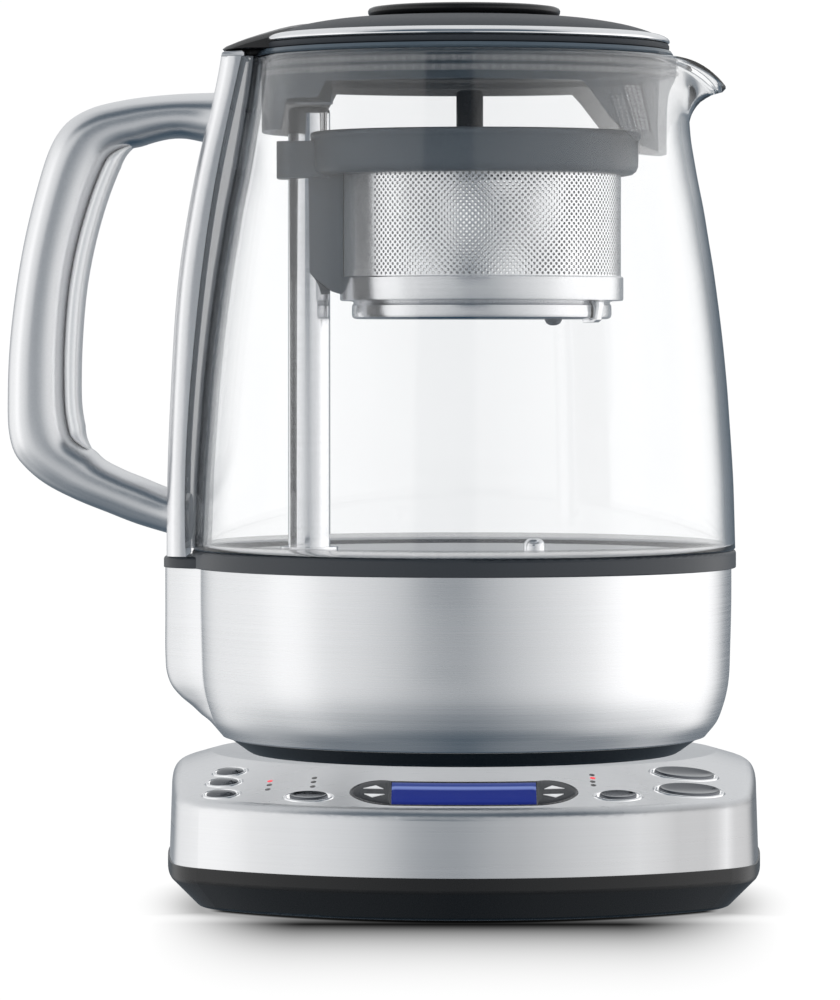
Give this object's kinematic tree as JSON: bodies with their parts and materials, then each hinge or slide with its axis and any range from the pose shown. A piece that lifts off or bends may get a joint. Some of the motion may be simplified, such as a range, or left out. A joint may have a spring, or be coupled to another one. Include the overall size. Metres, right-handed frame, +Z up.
{
  "type": "automatic tea maker",
  "caption": "Glass tea-making jug with a motor-lowered steel tea basket and side handle, lifting off a sloping steel power base with a display and oval keys.",
  "frame": {"origin": "centre of the whole object's footprint, on the surface it stands on", "axes": "+Z up; +X towards the spout, with the handle towards -X; -Y is the front with the control panel"},
  "size_m": [0.2134, 0.1825, 0.2519],
  "materials": {
    "brushed_steel": "fine brushed, satin",
    "chrome": "polished",
    "dark_chrome": "dark polished",
    "handle_metal": "satin brushed die casting",
    "clear_glass": "clear, polished",
    "black_plastic": "fine satin texture",
    "gloss_black": "gloss",
    "graphite_plastic": "satin",
    "smoke_plastic": "translucent smoke",
    "silicone": "matt",
    "foot_rubber": "matt",
    "display_blue": "backlit",
    "indicator_red": "lit",
    "indicator_dark": "unlit",
    "circuit_board": "solder mask",
    "electronics": "moulded",
    "brass": "plated contacts",
    "zinc_steel": "zinc plated",
    "magnet_steel": "coated magnet"
  },
  "bodies": {
    "base": {"base_cover": "brushed_steel", "cover_liner": "black_plastic", "base_housing": "black_plastic", "cord_bush": "foot_rubber", "rubber_feet": "foot_rubber", "base_screws": "zinc_steel", "display_bezel": "dark_chrome", "display_window": "display_blue", "lcd_module": "electronics", "key_rings": "chrome", "lit_indicators": "indicator_red", "dark_indicators": "indicator_dark", "control_board": "circuit_board", "key_switches": "electronics", "power_board": "circuit_board", "power_relay": "electronics", "connector_pod": "black_plastic", "pod_contacts": "brass"},
    "jug_socket": {"jug_socket": "black_plastic"},
    "jug": {"jug_boot": "black_plastic", "boot_screws": "zinc_steel", "steel_bowl": "brushed_steel", "ring_band": "graphite_plastic", "heating_plate": "brushed_steel", "glass_seal": "silicone", "heating_element": "handle_metal", "temperature_probe": "brushed_steel", "lift_motor": "zinc_steel", "motor_bracket": "zinc_steel", "guide_pole": "brushed_steel", "glass_jug": "clear_glass", "column_shell": "handle_metal", "column_liner": "smoke_plastic", "column_cap": "black_plastic", "handle_grip": "handle_metal", "handle_inlay": "chrome"},
    "lift_screw": {"lead_screw": "zinc_steel", "screw_coupler": "brass"},
    "magnet_slider": {"magnet_slider": "magnet_steel"},
    "basket": {"basket_carriage": "graphite_plastic", "carriage_magnet": "magnet_steel", "basket_mesh": "brushed_steel", "basket_base": "brushed_steel"},
    "basket_cover": {"basket_cover": "gloss_black"},
    "lid": {"lid_cap": "graphite_plastic", "lid_chrome_ring": "chrome", "lid_knob": "black_plastic", "lid_rear_tab": "black_plastic", "lid_seal": "silicone", "lid_skirt": "smoke_plastic", "spout_filter": "brushed_steel"},
    "temperature_rocker": {"temperature_rocker": "gloss_black"},
    "time_rocker": {"time_rocker": "gloss_black"},
    "auto_start_button": {"auto_start_button": "dark_chrome"},
    "keep_warm_button": {"keep_warm_button": "dark_chrome"},
    "basket_button": {"basket_button": "dark_chrome"},
    "tea_type_button": {"tea_type_button": "dark_chrome"},
    "strength_button": {"strength_button": "dark_chrome"},
    "hot_water_button": {"hot_water_button": "dark_chrome"},
    "tea_button": {"tea_button": "dark_chrome"}
  },
  "joints": [
    {"name": "jug_lift", "type": "slide", "parent": "base", "child": "jug_socket", "axis": [0, 0, 1], "range_m": [0, 0.12]},
    {"name": "jug_swivel", "type": "hinge", "parent": "jug_socket", "child": "jug", "pos_m": [0.02289, 0.00375, 0.045], "axis": [0, 0, 1], "continuous": true},
    {"name": "lid_lift", "type": "slide", "parent": "jug", "child": "lid", "axis": [0, 0, 1], "range_m": [0, 0.07]},
    {"name": "basket_lift", "type": "slide", "parent": "jug", "child": "basket", "axis": [0, 0, 1], "range_m": [-0.06, 0]},
    {"name": "magnet_travel", "type": "slide", "parent": "jug", "child": "magnet_slider", "axis": [0, 0, 1], "range_m": [-0.06, 0]},
    {"name": "screw_turn", "type": "hinge", "parent": "jug", "child": "lift_screw", "pos_m": [-0.02111, 0.00375, 0.15], "axis": [0, 0, 1], "range_deg": [-1805, 0]},
    {"name": "basket_cover_lift", "type": "slide", "parent": "basket", "child": "basket_cover", "axis": [0, 0, 1], "range_m": [0, 0.007]},
    {"name": "auto_start_button_press", "type": "slide", "parent": "base", "child": "auto_start_button", "axis": [-0.2196, -0.1667, 0.9613], "range_m": [-0.0008, 0], "stiffness_N_per_m": 500, "springref_m": 0.0006},
    {"name": "keep_warm_button_press", "type": "slide", "parent": "base", "child": "keep_warm_button", "axis": [-0.2052, -0.1841, 0.9613], "range_m": [-0.0008, 0], "stiffness_N_per_m": 500, "springref_m": 0.0006},
    {"name": "basket_button_press", "type": "slide", "parent": "base", "child": "basket_button", "axis": [-0.1887, -0.2009, 0.9613], "range_m": [-0.0008, 0], "stiffness_N_per_m": 500, "springref_m": 0.0006},
    {"name": "tea_type_button_press", "type": "slide", "parent": "base", "child": "tea_type_button", "axis": [-0.1217, -0.2473, 0.9613], "range_m": [-0.0008, 0], "stiffness_N_per_m": 500, "springref_m": 0.0006},
    {"name": "strength_button_press", "type": "slide", "parent": "base", "child": "strength_button", "axis": [0.1217, -0.2473, 0.9613], "range_m": [-0.0008, 0], "stiffness_N_per_m": 500, "springref_m": 0.0006},
    {"name": "hot_water_button_press", "type": "slide", "parent": "base", "child": "hot_water_button", "axis": [0.2045, -0.1848, 0.9613], "range_m": [-0.0008, 0], "stiffness_N_per_m": 500, "springref_m": 0.0006},
    {"name": "tea_button_press", "type": "slide", "parent": "base", "child": "tea_button", "axis": [0.1816, -0.2074, 0.9613], "range_m": [-0.0008, 0], "stiffness_N_per_m": 500, "springref_m": 0.0006},
    {"name": "temperature_rocker_tilt", "type": "hinge", "parent": "base", "child": "temperature_rocker", "pos_m": [-0.00136, -0.07322, 0.03403], "axis": [0.9632, -0.2689, 0], "range_deg": [-3, 3], "stiffness_Nm_per_rad": 0.05},
    {"name": "time_rocker_tilt", "type": "hinge", "parent": "base", "child": "time_rocker", "pos_m": [0.04714, -0.07322, 0.03403], "axis": [0.9632, 0.2689, 0], "range_deg": [-3, 3], "stiffness_Nm_per_rad": 0.05}
  ],
  "couplings": [
    {"joint": "magnet_travel", "follows": "basket_lift", "ratio": 1},
    {"joint": "screw_turn", "follows": "basket_lift", "rad_per_m": 523.6}
  ]
}
